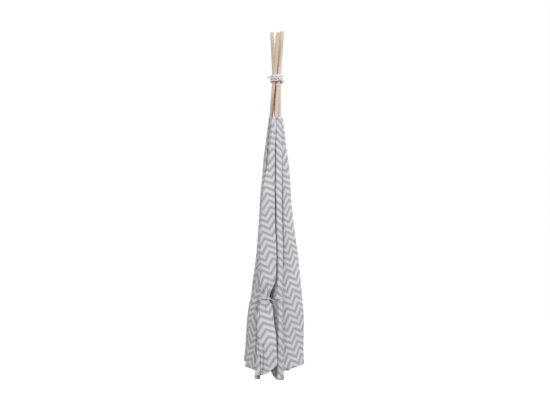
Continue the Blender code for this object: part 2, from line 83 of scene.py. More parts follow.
class Wire:
    """A socket of a material. Sums on it add Math nodes, and node() adds any other node."""

    def __init__(self, tree, socket=None):
        self.tree = tree
        self.socket = socket

    def node(self, kind, settings=None, sockets=None, out=0):
        made = self.tree.nodes.new(kind)
        for name, value in (settings or {}).items():
            setattr(made, name, value)
        for name, value in (sockets or {}).items():
            if isinstance(value, Wire):
                self.tree.links.new(value.socket, made.inputs[name])
            else:
                made.inputs[name].default_value = value
        return Wire(self.tree, made.outputs[out])

    def math(self, operation, *values):
        sockets = dict(enumerate((self, *values)))
        return self.node("ShaderNodeMath", {"operation": operation}, sockets)

    def __add__(self, other):
        return self.math("ADD", other)

    def __sub__(self, other):
        return self.math("SUBTRACT", other)

    def __mul__(self, other):
        return self.math("MULTIPLY", other)

    def __truediv__(self, other):
        return self.math("DIVIDE", other)

    def __radd__(self, other):
        return self.math("ADD", other)

    def __rmul__(self, other):
        return self.math("MULTIPLY", other)

    def __rsub__(self, other):
        return self.node("ShaderNodeMath", {"operation": "SUBTRACT"}, {0: other, 1: self})

    def ramp(self, low, high):
        """0 below low, 1 above high, and smooth between."""
        spread = {"Value": self, "From Min": low, "From Max": high}
        return self.node("ShaderNodeMapRange", {"interpolation_type": "SMOOTHSTEP"}, spread)

    def mix(self, first, second):
        """A colour that runs from the first to the second as this value runs from 0 to 1."""
        sockets = {0: self, 6: first, 7: second}
        return self.node("ShaderNodeMix", {"data_type": "RGBA"}, sockets, out=2)


def linear(red, green, blue):
    """A colour as it looks on a screen, from 0 to 255, as the renderer's linear colour."""
    shares = [value / 255 for value in (red, green, blue)]
    return tuple(s / 12.92 if s <= 0.04045 else ((s + 0.055) / 1.055) ** 2.4 for s in shares) + (1,)


def new_surface(name):
    """An empty material and a wire to start its nodes from."""
    made = bpy.data.materials.new(name)
    made.use_nodes = True
    made.node_tree.nodes.clear()
    return made, Wire(made.node_tree)


def end_surface(paint, shader):
    """Join a shader to the material's output."""
    end = paint.tree.nodes.new("ShaderNodeOutputMaterial")
    paint.tree.links.new(shader.socket, end.inputs["Surface"])


def finished(name, builder, surface):
    """Make an object of a bmesh, smooth and in place, with its material."""
    mesh = bpy.data.meshes.new(name)
    builder.to_mesh(mesh)
    builder.free()
    mesh.materials.append(surface)
    mesh.shade_smooth()
    made = bpy.data.objects.new(name, mesh)
    bpy.context.scene.collection.objects.link(made)
    return made


scene = bpy.context.scene
scene.view_settings.view_transform = "Standard"
eye = bpy.data.cameras.new("eye")
eye.sensor_width = EYE_SENSOR
eye.lens = EYE_LENS
camera = bpy.data.objects.new("eye", eye)
camera.location = EYE_PLACE
camera.rotation_euler = (pi / 2, 0, 0)
scene.collection.objects.link(camera)
scene.camera = camera

for name, place, size, power in LAMPS:
    lamp = bpy.data.lights.new(name, "AREA")
    lamp.size = size
    lamp.energy = power
    stand = bpy.data.objects.new(name, lamp)
    stand.location = place
    stand.rotation_euler = (LAMP_AIM - Vector(place)).to_track_quat("-Z", "Y").to_euler()
    scene.collection.objects.link(stand)

room = bpy.data.worlds.new("room")
room.use_nodes = True
room.node_tree.nodes.clear()
air = Wire(room.node_tree)
rays = room.node_tree.nodes.new("ShaderNodeLightPath").outputs
mirrored = Wire(room.node_tree, rays["Is Glossy Ray"])
seen = Wire(room.node_tree, rays["Is Camera Ray"]).math("MAXIMUM", mirrored)
dim = air.node("ShaderNodeBackground", None, {"Color": WHITE, "Strength": SURROUND_LIGHT})
white = air.node("ShaderNodeBackground", None, {"Color": WHITE, "Strength": 1})
sky = air.node("ShaderNodeMixShader", None, {0: seen, 1: dim, 2: white})
end = room.node_tree.nodes.new("ShaderNodeOutputWorld")
room.node_tree.links.new(sky.socket, end.inputs["Surface"])
scene.world = room

floor_paint, paint = new_surface("floor_white")
rays = paint.tree.nodes.new("ShaderNodeLightPath").outputs
seen = Wire(paint.tree, rays["Is Camera Ray"])
plain = paint.node("ShaderNodeBsdfDiffuse", None, {"Color": FLOOR_GREY})
bright = paint.node("ShaderNodeEmission", None, {"Color": WHITE, "Strength": FLOOR_GLOW})
sockets = {0: seen * FLOOR_GLOW_SHARE, 1: plain, 2: bright}
end_surface(paint, paint.node("ShaderNodeMixShader", None, sockets))
builder = bmesh.new()
bmesh.ops.create_grid(builder, x_segments=2, y_segments=2, size=FLOOR_REACH)
finished("floor", builder, floor_paint)

# The poles: four round pine dowels, 20 mm thick and 1.8 m long, sanded and left bare, with eased
# ends. The grain runs along them, and the rings show on the sawn ends.
POLE_RADIUS = 0.010
POLE_SIDES = 48
POLE_EASED = 0.0018
POLE_EASE_STEPS = 4
POLE_SHARP = radians(50)
POLE_KEYS = ("front_left", "back_left", "back_right", "front_right")
POLE_TONES = {"front_left": 0.985, "back_left": 0.95, "back_right": 1.03, "front_right": 1.0}
PINE_PALE = (226, 208, 191)
PINE_DEEP = (212, 187, 164)
SAWN_PALE = (186, 160, 132)
SAWN_DEEP = (150, 122, 96)
SAWN_FROM = 0.0012
SAWN_FULL = 0.0002
PITH_ASIDE = (0.021, 0.012)
CROSSING_HEIGHT = 1.546


def pole_line(key):
    """A pole's lower end, its direction and its length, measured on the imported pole."""
    spots = np.array([vert.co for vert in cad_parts["pole_" + key].data.vertices])
    spots = np.unique(spots.round(6), axis=0)
    middle = spots[:, 2].mean()
    low = spots[spots[:, 2] < middle].mean(axis=0)
    high = spots[spots[:, 2] > middle].mean(axis=0)
    lean = (high - low) / np.linalg.norm(high - low)
    along = (spots - low) @ lean
    return Vector(low + lean * along.min()), Vector(lean), float(along.max() - along.min())


def pole_at(key, heights):
    """Where a pole's axis is in plan, at one height or at many."""
    start, lean, _ = POLE_LINES[key]
    run = (np.asarray(heights, float) - start.z) / lean.z
    return np.stack([start.x + lean.x * run, start.y + lean.y * run], axis=-1)


def toned(colour, tone):
    """A screen colour made darker or lighter by a factor."""
    return tuple(value * tone for value in linear(*colour)[:3]) + (1,)


def split(place):
    """The three values of a place, as wires."""
    parts = place.node("ShaderNodeSeparateXYZ", None, {0: place})
    return [Wire(place.tree, socket) for socket in parts.socket.node.outputs]


def joined(x, y, z=0.0):
    """A place made of values."""
    return x.node("ShaderNodeCombineXYZ", None, {0: x, 1: y, 2: z})


def mottled(place, detail, scale=1.0, distortion=0.0):
    """An uneven value that wanders about a half from place to place."""
    sockets = {"Vector": place, "Scale": scale, "Detail": detail, "Distortion": distortion}
    return place.node("ShaderNodeTexNoise", None, sockets)


def relief(height, strength=1.0, distance=1.0):
    """The slopes of a height, as a normal."""
    sockets = {"Height": height, "Strength": strength, "Distance": distance}
    return height.node("ShaderNodeBump", None, sockets)


def pine(name, tone, length):
    """Bare sanded pine: long grain, fine fibres, a few darker streaks, and rings on the ends."""
    surface, paint = new_surface(name)
    place = paint.node("ShaderNodeAttribute", {"attribute_name": "grain"}, out=1)
    across, depth, run = split(place)
    pith = joined(across + PITH_ASIDE[0], depth + PITH_ASIDE[1], run * 0.010)
    radius = paint.node("ShaderNodeVectorMath", {"operation": "LENGTH"}, {0: pith}, out=1)
    bend = mottled(joined(across * 60, depth * 60, run * 1.6), 3.0)
    rings = (radius * 520 + bend * 5.5).math("PINGPONG", 1.0)
    fibre = mottled(joined(across * 1400, depth * 1400, run * 22), 4.0)
    streak = mottled(joined(across * 260, depth * 260, run * 3.5), 2.0)
    late = rings.ramp(0.35, 1.0) * 0.42 + fibre.ramp(0.35, 0.75) * 0.30
    late = late + streak.ramp(0.52, 0.78) * 0.30
    wood = late.mix(toned(PINE_PALE, tone), toned(PINE_DEEP, tone))
    from_middle = (run - length / 2).math("ABSOLUTE")
    sawn = from_middle.ramp(length / 2 - SAWN_FROM, length / 2 - SAWN_FULL)
    tip_wood = (rings * 0.6).mix(linear(*SAWN_PALE), linear(*SAWN_DEEP))
    colour = (sawn * 0.75).mix(wood, tip_wood)
    height = fibre * 0.6 + rings * 0.4
    bump = relief(height, 0.35, 0.0003)
    sockets = {"Base Color": colour, "Roughness": 0.52 + fibre * 0.2, "Normal": bump}
    end_surface(paint, paint.node("ShaderNodeBsdfPrincipled", None, sockets))
    return surface


POLE_LINES = {key: pole_line(key) for key in POLE_KEYS}
for key in POLE_KEYS:
    start, lean, length = POLE_LINES[key]
    builder = bmesh.new()
    bmesh.ops.create_cone(
        builder,
        cap_ends=True,
        segments=POLE_SIDES,
        radius1=POLE_RADIUS,
        radius2=POLE_RADIUS,
        depth=length,
    )
    rims = [edge for edge in builder.edges if edge.verts[0].co.z * edge.verts[1].co.z > 0]
    bmesh.ops.bevel(
        builder,
        geom=rims,
        offset=POLE_EASED,
        segments=POLE_EASE_STEPS,
        profile=0.5,
        affect="EDGES",
        material=-1,
    )
    grain = builder.verts.layers.float_vector.new("grain")
    for vert in builder.verts:
        vert[grain] = vert.co + Vector((0, 0, length / 2))
    turn = Vector((0, 0, 1)).rotation_difference(lean).to_matrix().to_4x4()
    place = Matrix.Translation(start + lean * length / 2) @ turn
    bmesh.ops.transform(builder, matrix=place, verts=builder.verts)
    pole = finished("dowel_" + key, builder, pine("pine_" + key, POLE_TONES[key], length))
    pole.data.set_sharp_from_angle(angle=POLE_SHARP)
    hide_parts("pole_" + key)
    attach(pole, key + "_leg")

# The cover's sleeves: each is a channel of the cover's chevron cotton sewn round a pole, with a
# doubled top hem, and it is closed at the foot by a stitched pocket that the pole stands in.
SLEEVE_RADIUS = 0.0118
SLEEVE_CLOTH = 0.0008
SLEEVE_SIDES = 40
SLEEVE_STEP = 0.009
SLEEVE_FROM = 0.046
SLEEVE_LOOSE = 0.00022
SLEEVE_SNUG = 0.0001
LOOSE_FROM = 0.05
LOOSE_TO = 0.02
COVER_TOP = 1.350
TOP_HEM = 0.0135
HEM_PLY = 0.0004
POCKET = (0.0140, 0.022, 0.036)
POCKET_STITCH = 0.0185
POCKET_STITCH_TO = 0.027
POCKET_LOOSE = 0.0005
POCKET_LOOSE_TO = 0.030
POCKET_LOOSE_OUT = 0.013
PLAIN_INSET = 0.03
STITCH_INSET = 0.0105
STITCH_LENGTH = 0.0036
HALF_SIDE = 0.6
GORE = 2 * asin(HALF_SIDE / CROSSING_HEIGHT)
ZIGZAG = 0.0800
ZIGZAG_RISE = 0.0345
ROW_STEP = 0.0360
COTTON_LIGHT = (225, 224, 228)
COTTON_DARK = (180, 179, 184)
THREAD = (236, 236, 238)
# The grey beside the stitch lines: needle holes, and painted shade in the sunken stitches.
HOLES_AND_SHADE = (120, 119, 124)


def cotton(name, light, dark, weave=0.0007):
    """Printed cotton canvas: chevron rows on a plain weave, with hems, stitches and creases."""
    surface, paint = new_surface(name)
    cut = paint.node("ShaderNodeUVMap", {"uv_map": "cut"})
    across, down, _ = split(cut)
    trim = paint.node("ShaderNodeUVMap", {"uv_map": "trim"})
    run, inset, _ = split(trim)

    # The print: darker zigzag rows, a little uneven along their edges.
    fuzz = mottled(cut, 1.0, 900.0)
    drift = mottled(cut, 1.0, 14.0)
    zigzag = across.math("PINGPONG", ZIGZAG / 2) * (2 * ZIGZAG_RISE / ZIGZAG)
    rows = (down + zigzag + (drift - 0.5) * 0.004) / ROW_STEP + (fuzz - 0.5) * 0.035
    stripe = (rows.math("PINGPONG", 0.5) * 2).ramp(0.42, 0.62)
    ink = mottled(cut, 3.0, 260.0)
    printed = stripe * (0.90 + ink * 0.14)

    # The weave's thread tones, and stitch lines along each hem with holes and painted shade.
    warp = mottled(joined(across * 1500, down * 24), 2.0)
    weft = mottled(joined(across * 24, down * 1500), 2.0)
    shade = (warp + weft) * 0.07 + mottled(cut, 3.0, 9.0) * 0.08 + 0.89
    tinted = printed.mix(linear(*light), linear(*dark))
    grey = paint.node("ShaderNodeCombineColor", None, {0: shade, 1: shade, 2: shade})
    multiply = {"data_type": "RGBA", "blend_type": "MULTIPLY"}
    shaded = paint.node("ShaderNodeMix", multiply, {0: 1.0, 6: tinted, 7: grey}, out=2)
    off_line = (inset - STITCH_INSET).math("ABSOLUTE")
    dash = (run / STITCH_LENGTH).math("FRACT")
    stitch = (1 - off_line.ramp(0.0003, 0.0007)) * (1 - dash.ramp(0.70, 0.78))
    stitch = stitch * dash.ramp(0.02, 0.08)
    # A band beside each stitch line is darkened for the needle holes and as painted shade in the
    # groove.
    holes_and_shade = (1 - off_line.ramp(0.0006, 0.0014)) * 0.16
    colour = (stitch * 0.85).mix(holes_and_shade.mix(shaded, linear(*HOLES_AND_SHADE)), linear(*THREAD))

    # The relief: threads, creases, puckers beside the hem, sunken stitches and the hem's step.
    thread = (across * (2 * pi / weave)).math("SINE") * (down * (2 * pi / weave)).math("SINE")
    crease = mottled(cut, 4.0, 38.0, 0.6)
    pucker = mottled(trim, 1.0, 170.0) * (1 - inset.ramp(0.010, 0.022))
    height = thread * 0.00006 + crease * 0.0016 + pucker * 0.0009
    height = height + stitch * 0.0003 - (1 - off_line.ramp(0.0004, 0.0022)) * 0.0005
    height = height + (1 - inset.ramp(0.0125, TOP_HEM)) * 0.0005
    sockets = {
        "Base Color": colour,
        "Roughness": 0.86 + warp * 0.12,
        "Sheen Weight": 0.15,
        "Sheen Roughness": 0.5,
        "Specular IOR Level": 0.25,
        "Normal": relief(height),
    }
    end_surface(paint, paint.node("ShaderNodeBsdfPrincipled", None, sockets))
    return surface


def mapped(builder, spots, cut, trim):
    """Write the cloth's flat places and its hem places on a bmesh, from its vertices."""
    cut_layer = builder.loops.layers.uv["cut"]
    trim_layer = builder.loops.layers.uv["trim"]
    for face in builder.faces:
        for loop in face.loops:
            spot = spots[loop.vert]
            loop[cut_layer].uv = cut[spot]
            loop[trim_layer].uv = trim[spot]


def grid_net(rows, columns):
    """A bmesh with a flat grid, and each of its vertices' row and column."""
    builder = bmesh.new()
    builder.loops.layers.uv.new("cut")
    builder.loops.layers.uv.new("trim")
    builder.verts.layers.deform.new()
    made = bmesh.ops.create_grid(builder, x_segments=columns - 1, y_segments=rows - 1, size=1)
    spots = {}
    for vert in made["verts"]:
        column = round((vert.co.x + 1) / 2 * (columns - 1))
        row = round((1 - vert.co.y) / 2 * (rows - 1))
        spots[vert] = (row, column)
    return builder, spots


CHEVRON = cotton("chevron_cotton", COTTON_LIGHT, COTTON_DARK)

# A sleeve's outline, as distances from the pole's middle and heights, from the sole of the pocket
# to the doubled top hem.
profile = [(0.0, 0.0), (0.006, 0.0), (0.0118, 0.0002), (0.0134, 0.0012), (0.0140, 0.0036)]
profile += [(POCKET[0], z) for z in (0.008, 0.012, 0.016, 0.020)]
profile += [(0.0137, 0.0245), (0.0130, 0.0290), (0.0122, 0.0335), (SLEEVE_RADIUS, 0.0375)]
steps = round((COVER_TOP - TOP_HEM - SLEEVE_FROM) / SLEEVE_STEP)
profile += [(SLEEVE_RADIUS, SLEEVE_FROM + SLEEVE_STEP * step) for step in range(steps)]
profile += [(SLEEVE_RADIUS, COVER_TOP - TOP_HEM)]
profile += [(SLEEVE_RADIUS + HEM_PLY, COVER_TOP - below) for below in (0.0125, 0.007, 0.001)]
profile += [(SLEEVE_RADIUS + HEM_PLY / 2, COVER_TOP)]

for number, key in enumerate(POLE_KEYS):
    builder, spots = grid_net(len(profile), SLEEVE_SIDES + 1)
    foot, top = pole_at(key, 0.0), pole_at(key, CROSSING_HEIGHT)
    cut, trim = {}, {}
    for vert, (row, column) in spots.items():
        radius, z = profile[row]
        turn = 2 * pi * column / SLEEVE_SIDES
        loose = Vector((cos(turn) * 1.5, sin(turn) * 1.5, z * 26 + 7.0 * number))
        if LOOSE_FROM < z < COVER_TOP - LOOSE_TO and radius >= SLEEVE_RADIUS:
            radius += SLEEVE_LOOSE * noise.noise(loose) - SLEEVE_SNUG
        if z < POCKET_LOOSE_TO and radius > POCKET_LOOSE_OUT:
            radius += POCKET_LOOSE * (noise.noise(loose * 2.2) - 0.4)
        plan = foot + (top - foot) * z / CROSSING_HEIGHT
        vert.co = (plan[0] + radius * cos(turn), plan[1] + radius * sin(turn), z)
        slant = CROSSING_HEIGHT - z
        side = (turn - pi) * SLEEVE_RADIUS
        cut[row, column] = (
            slant * sin(GORE / 2) + side * cos(GORE / 2),
            slant * cos(GORE / 2) - side * sin(GORE / 2),
        )
        if z < POCKET_STITCH_TO:
            from_hem = abs(z - POCKET_STITCH) + STITCH_INSET
        else:
            from_hem = COVER_TOP - z if z > 0.1 else PLAIN_INSET
        trim[row, column] = (turn * SLEEVE_RADIUS, from_hem)
    mapped(builder, spots, cut, trim)
    bmesh.ops.remove_doubles(builder, verts=builder.verts, dist=0.00002)
    bmesh.ops.recalc_face_normals(builder, faces=builder.faces)
    sleeve = finished("channel_" + key, builder, CHEVRON)
    ply = sleeve.modifiers.new("ply", "SOLIDIFY")
    ply.thickness = SLEEVE_CLOTH
    ply.offset = -1
    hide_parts("sleeve_" + key)
    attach(sleeve, key + "_leg")

# The cover's walls: three gores of the same cotton, 1.2 m wide along the hem and narrowing to the
# top, sewn to the sleeves down both sides. Folded up, each one falls in deep pleats between its two
# poles.
CLOTH = 0.0006
HEM_CLOTH = 0.0012
HEM_BAND = 0.0130
WALL_SECTIONS = 150
WALL_ROWS = 190
WALL_STEPS = 17
HEM_HEIGHT = 0.043
PLEAT_REACH = 0.080
PLEAT_ROOM = 0.62
INWARD_START = 0.42
TABLE_SPREAD = 0.022
TABLE_TAPS = 7
STEP_CROWDING = 0.105
SPARE_RUN = (0.16, 0.84)
SEWN_RUN = (0.002, 0.022)
DRIFT = 0.010
DRIFT_CLEAR = 0.013
DRIFT_EASE = 0.035
TIE_EASE = 0.035
DRAPE_LIFT = 0.0009
CREASE_LIFT = 0.00035
WALL_LEVELS = (0.117, 0.20, 0.265, 0.41, 0.563, 0.693, 0.825, 0.948, 1.0)

# Each wall's folds lie outside the line between its poles, or inside where they are negative. The
# shares of "out" go with WALL_LEVELS. A crease is its depth, and then its x at some heights.
WALLS = {
    "left": {
        "poles": ("front_left", "back_left"),
        "folds": (1.0, -0.95, 0.97, -1.0, 0.94, -0.95, 0.90, -0.9, 0.85, -0.95, 0.72),
        "out": 0.048,
        "out_shares": (0.19, 0.37, 0.50, 0.48, 0.32, 0.59, 0.93, 1.0, 1.0),
        "in": 0.062,
        "rise_share": 0.27,
        "bend": 0.035,
        "creases": (
            (0.0140, (1.307, -0.0181), (1.235, -0.0283), (1.133, -0.0355), (1.041, -0.0416)),
            (0.0160, (0.637, -0.0866), (0.586, -0.0886), (0.504, -0.0845), (0.453, -0.0774)),
            (
                0.0160, (0.407, -0.0794), (0.382, -0.0850), (0.300, -0.0891), (0.223, -0.0881),
                (0.152, -0.0917), (0.070, -0.0988),
            ),
        ),
    },
    "back": {
        "poles": ("back_left", "back_right"),
        "folds": (0.80, -0.8, 0.90, -0.95, 1.0, -1.0, 0.96, -0.8, 0.75),
        "out": 0.060,
        "out_shares": (0.16, 0.28, 0.36, 0.50, 0.64, 0.76, 0.88, 0.97, 1.0),
        "in": 0.050,
        "rise_share": 0.80,
        "bend": 0.019,
    },
    "right": {
        "poles": ("back_right", "front_right"),
        "folds": (0.60, -0.9, 0.67, -0.95, 0.74, -1.0, 0.80, -0.9, 1.0),
        "out": 0.105,
        "out_shares": (0.07, 0.21, 0.29, 0.46, 0.71, 0.88, 0.98, 1.0, 1.0),
        "in": 0.055,
        "rise_share": 0.75,
        "bend": 0.028,
        "creases": (
            (
                0.0080, (1.286, 0.0351), (1.123, 0.0381), (0.939, 0.0422), (0.714, 0.0453),
                (0.571, 0.0468),
            ),
            (0.0050, (0.346, 0.0514), (0.090, 0.0535)),
        ),
    },
}
TIE_HEIGHT = 0.418
SEAM_REACH = 0.0122
SEAM_STITCH = 0.0065
CREASE_WIDTH = 0.0026
CREASE_END = 0.012
CREASE_REACH = 1.3
FRONT_PART = -0.03


def read_table(places, levels, table, spread):
    """A table read at many places, with its corners rounded over a spread."""
    taps = np.linspace(-spread, spread, TABLE_TAPS)
    return np.mean([np.interp(np.asarray(places) + tap, levels, table) for tap in taps], axis=0)


def seam_reach(heights):
    """How far a cloth's middle lies from a pole's axis where it is sewn on."""
    return np.interp(heights, POCKET[1:], (POCKET[0] + HEM_PLY, SEAM_REACH))


def between(first, second, heights, outward):
    """Start, direction, outward normal and length of the line between two poles, by height."""
    start, end = pole_at(first, heights), pole_at(second, heights)
    length = np.linalg.norm(end - start, axis=1)
    along = (end - start) / length[:, None]
    normal = np.stack([-along[:, 1], along[:, 0]], axis=1) * outward
    return start, along, normal, length


def fold_curve(points, steps):
    """Smooth fold lines through rows of points, of rows x folds x 2, with their lengths of arc."""
    slope = np.empty_like(points)
    slope[:, 1:-1] = (points[:, 2:] - points[:, :-2]) / 2
    slope[:, 0] = (points[:, 1] - points[:, 0]) / 2
    slope[:, -1] = (points[:, -1] - points[:, -2]) / 2
    even = np.arange(steps) / steps
    t = (even - STEP_CROWDING * np.sin(2 * pi * even))[None, :, None]
    curve = []
    for k in range(points.shape[1] - 1):
        from_first = points[:, k, None] * (2 * t**3 - 3 * t**2 + 1)
        leaving = slope[:, k, None] * (t**3 - 2 * t**2 + t)
        from_next = points[:, k + 1, None] * (3 * t**2 - 2 * t**3)
        arriving = slope[:, k + 1, None] * (t**3 - t**2)
        curve.append(from_first + leaving + from_next + arriving)
    curve = np.concatenate(curve + [points[:, -1:]], axis=1)
    steps_run = np.linalg.norm(np.diff(curve, axis=1), axis=2)
    arc = np.concatenate([np.zeros((len(curve), 1)), np.cumsum(steps_run, axis=1)], axis=1)
    return curve, arc


def read_rows(table, levels, heights):
    """A table with a row for each level, read for a net of heights with the table's columns."""
    place = (heights - levels[0]) / (levels[-1] - levels[0]) * (len(levels) - 1)
    low = np.clip(place.astype(int), 0, len(levels) - 2)
    share = place - low
    columns = np.arange(heights.shape[1])[None, :]
    if table.ndim == 3:
        share = share[..., None]
    return table[low, columns] * (1 - share) + table[low + 1, columns] * share


def loosened(points):
    """A net of cloth with a slow drift sideways, which is nil at the poles and the tie-backs."""
    heights = points[..., 2]
    clear = np.min(
        [np.linalg.norm(points[..., :2] - pole_at(key, heights), axis=-1) for key in POLE_KEYS],
        axis=0,
    )
    ease = np.clip((clear - DRIFT_CLEAR) / DRIFT_EASE, 0, 1)
    weight = DRIFT * ease**2 * (3 - 2 * ease)
    weight = weight * (1 - np.exp(-(((heights - TIE_HEIGHT) / TIE_EASE) ** 2)))
    moved = points.copy()
    for spot in np.ndindex(heights.shape):
        x, y, z = points[spot]
        place = Vector((x * 9, y * 9, z * 4.5))
        moved[spot][0] += weight[spot] * noise.noise(place)
        moved[spot][1] += weight[spot] * noise.noise(place + Vector((0, 0, 31.7)))
    return moved


def creased(points, creases):
    """A net of cloth with creases pressed in from the front."""
    pressed = points.copy()
    for depth, *line in creases:
        heights, places = np.array(line[::-1]).T
        low, high = heights[0], heights[-1]
        ends = smooth(points[..., 2], low - CREASE_END, low + CREASE_END)
        ends = ends * (1 - smooth(points[..., 2], high - CREASE_END, high + CREASE_END))
        off = (points[..., 0] - np.interp(points[..., 2], heights, places)) / CREASE_WIDTH
        pressed[..., 1] += depth * ends * np.exp(-(off**2))
    return pressed


def net_normals(points):
    """Unit normals of a net of points."""
    across = np.gradient(points, axis=1)
    down = np.gradient(points, axis=0)
    normals = np.cross(across, down)
    return normals / np.maximum(np.linalg.norm(normals, axis=2, keepdims=True), 1e-12)


def rippled(points, cut, tape, seed):
    """A net of cloth with small creases, in its own flat places. Tape is 0 where it is sewn."""
    normals = net_normals(points)
    lift = np.zeros(tape.shape)
    for spot in np.ndindex(tape.shape):
        u, v = cut[spot]
        drape = noise.noise(Vector((u * 34, v * 7, seed)))
        crease = noise.noise(Vector((u * 70 + v * 30, v * 46, seed + 11.3)))
        lift[spot] = DRAPE_LIFT * drape + CREASE_LIFT * crease
    return points + normals * (lift * tape)[..., None]


def cloth_piece(name, points, cut, trim, hem):
    """A net of points as one piece of hemmed cloth. Hem is 1 where the cloth is doubled."""
    rows, columns = points.shape[:2]
    builder, spots = grid_net(rows, columns)
    layer = builder.verts.layers.deform.active
    for vert, spot in spots.items():
        vert.co = points[spot]
        vert[layer][0] = float(hem[spot])
    mapped(builder, spots, cut, trim)
    made = finished(name, builder, CHEVRON)
    made.vertex_groups.new(name="hem")
    ply = made.modifiers.new("ply", "SOLIDIFY")
    ply.thickness = HEM_CLOTH
    ply.offset = 0
    ply.vertex_group = "hem"
    ply.thickness_vertex_group = CLOTH / HEM_CLOTH
    return made


def smooth(values, low, high):
    """0 below low, 1 above high, and smooth between."""
    share = np.clip((np.asarray(values) - low) / np.maximum(high - low, 1e-9), 0, 1)
    return share**2 * (3 - 2 * share)


for number, (side, wall) in enumerate(WALLS.items()):
    # The folds in plan, at levels from the top to the hem.
    levels = np.linspace(COVER_TOP, HEM_HEIGHT, WALL_SECTIONS)
    start, along, outward, length = between(*wall["poles"], levels, 1)
    drop = 1 - levels / CROSSING_HEIGHT
    seam = seam_reach(levels)
    out = wall["out"] * read_table(drop, WALL_LEVELS, wall["out_shares"], TABLE_SPREAD)
    inward = (seam + wall["in"]) * np.maximum(0, drop - INWARD_START) / (1 - INWARD_START)
    reach = np.minimum(PLEAT_REACH, PLEAT_ROOM * length / 2)
    folds = [start + outward * seam[:, None]]
    for index, fold in enumerate(wall["folds"]):
        place = length / 2 + reach * (2 * index / (len(wall["folds"]) - 1) - 1)
        depth = seam + fold * (out if fold > 0 else inward)
        folds.append(start + along * place[:, None] + outward * depth[:, None])
    folds.append(start + along * length[:, None] + outward * seam[:, None])
    lines, arcs = fold_curve(np.stack(folds, axis=1), WALL_STEPS)

    # The net of the cloth, down to a hem that curves up away from the sleeves.
    rise = CROSSING_HEIGHT - sqrt(CROSSING_HEIGHT**2 - HALF_SIDE**2)
    nearest = np.minimum(arcs[-1], arcs[-1, -1] - arcs[-1]).clip(0, HALF_SIDE)
    hem_line = HEM_HEIGHT + wall["rise_share"] * rise * (1 - (1 - nearest / HALF_SIDE) ** 2)
    down = np.linspace(0, 1, WALL_ROWS)[:, None]
    heights = COVER_TOP + (hem_line[None, :] - COVER_TOP) * down
    plan = read_rows(lines, levels, heights)
    arc = read_rows(arcs, levels, heights)
    points = np.concatenate([plan, heights[..., None]], axis=2)

    # The same places on the flat cloth, for the print, the stitches and the hem.
    slant = CROSSING_HEIGHT - heights
    full = slant * GORE
    whole = arc[:, -1:]
    spare = (full - whole) * (smooth(arc / whole, *SPARE_RUN) - 0.5)
    angle = (arc - whole / 2 + spare) / slant
    cut = np.stack([slant * np.sin(angle), slant * np.cos(angle)], axis=2)
    to_seam = np.minimum(arc, whole - arc)
    to_hem = np.minimum(heights - hem_line[None, :], COVER_TOP - heights)
    inset = np.minimum(to_hem, to_seam + SEAM_STITCH)
    trim = np.stack([np.where(inset < to_hem, slant, angle * slant), inset], axis=2)
    hem = (to_hem < HEM_BAND).astype(float)

    points = rippled(loosened(points), cut, smooth(to_seam, *SEWN_RUN), 5.0 * number)
    first_fold = arc[:, WALL_STEPS, None].max()
    in_front = (points[..., 1] < FRONT_PART) & (to_seam < first_fold * CREASE_REACH)
    points = np.where(in_front[..., None], creased(points, wall.get("creases", ())), points)
    gore = cloth_piece("gore_" + side, points, cut, trim, hem)
    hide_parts("wall_" + side)

    # The line up midway between a wall's poles and a reach across it are worked out; the wall is
    # set in place.
    first, second = wall["poles"]
    ground, top = [
        Vector((*(pole_at(first, z) + pole_at(second, z)) / 2, z)) for z in (0.0, COVER_TOP)
    ]
    up = (top - ground).normalized()
    across = Vector((*(pole_at(second, TIE_HEIGHT) - pole_at(first, TIE_HEIGHT)), 0.0))
    across = (across - up * across.dot(up)).normalized() * wall["bend"]
    first + "_leg"
    second + "_leg"
    tuple(ground - across)
    tuple(ground + across)
    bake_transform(gore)
    "channel_" + first
    "channel_" + second

# The door flaps: the two halves of the front gore, sewn to the front sleeves, each with a hemmed
# free edge. Each is folded back on itself in loose layers and gathered by its tie-back low down.
FLAP_SECTIONS = 240
FLAP_ROWS = 190
FLAP_SPREAD = 0.018
FLAP_LEVELS = (0, 0.14, 0.245, 0.33, 0.485, 0.74, 0.91, 0.985, 1.025, 1.085, 1.28, 1.47, 1.71, 2)

